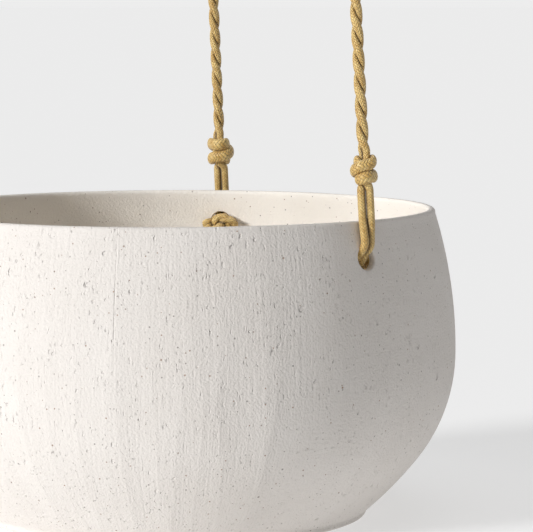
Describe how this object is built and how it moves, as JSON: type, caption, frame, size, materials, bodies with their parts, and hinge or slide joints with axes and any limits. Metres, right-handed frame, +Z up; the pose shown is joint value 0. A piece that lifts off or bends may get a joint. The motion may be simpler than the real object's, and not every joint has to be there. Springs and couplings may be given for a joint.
{
  "type": "hanging planter bowl",
  "caption": "Round unglazed ceramic bowl with a drawn-in rim and a flat base, hung by doubled cords that are knotted in holes under the rim and twisted above it.",
  "frame": {"origin": "centre of the bowl's flat base", "axes": "+Z up along the bowl's axis; the pictured front looks along -Y, and +X is to its right"},
  "size_m": [0.202, 0.202, 0.2215],
  "materials": {
    "ceramic": "matt unglazed off-white clay with fine dark specks, vertical drag marks and small pits",
    "cord": "tightly braided golden-brown cord with a waxed sheen"
  },
  "bodies": {
    "bowl_body": {"bowl": "ceramic", "front_stopper_knot": "cord", "back_stopper_knot": "cord", "left_stopper_knot": "cord"},
    "front_hanger": {"front_left_leg": "cord", "front_right_leg": "cord", "front_rim_knot": "cord", "front_twisted_rope": "cord", "front_eye_knot": "cord", "front_eye_loop": "cord"},
    "back_hanger": {"back_left_leg": "cord", "back_right_leg": "cord", "back_rim_knot": "cord", "back_twisted_rope": "cord", "back_eye_knot": "cord", "back_eye_loop": "cord"},
    "left_hanger": {"left_left_leg": "cord", "left_right_leg": "cord", "left_rim_knot": "cord", "left_twisted_rope": "cord", "left_eye_knot": "cord", "left_eye_loop": "cord"}
  },
  "joints": [
    {"name": "front_hanger_swing", "type": "hinge", "parent": "bowl_body", "child": "front_hanger", "pos_m": [0.06507, -0.07226, 0.09959], "axis": [0.7431, 0.6691, 0], "range_deg": [0, 135]},
    {"name": "back_hanger_swing", "type": "hinge", "parent": "bowl_body", "child": "back_hanger", "pos_m": [0.01939, 0.09529, 0.09959], "axis": [-0.9799, 0.1994, 0], "range_deg": [0, 135]},
    {"name": "left_hanger_swing", "type": "hinge", "parent": "bowl_body", "child": "left_hanger", "pos_m": [-0.09393, -0.02517, 0.09959], "axis": [0.2588, -0.9659, 0], "range_deg": [0, 135]}
  ]
}
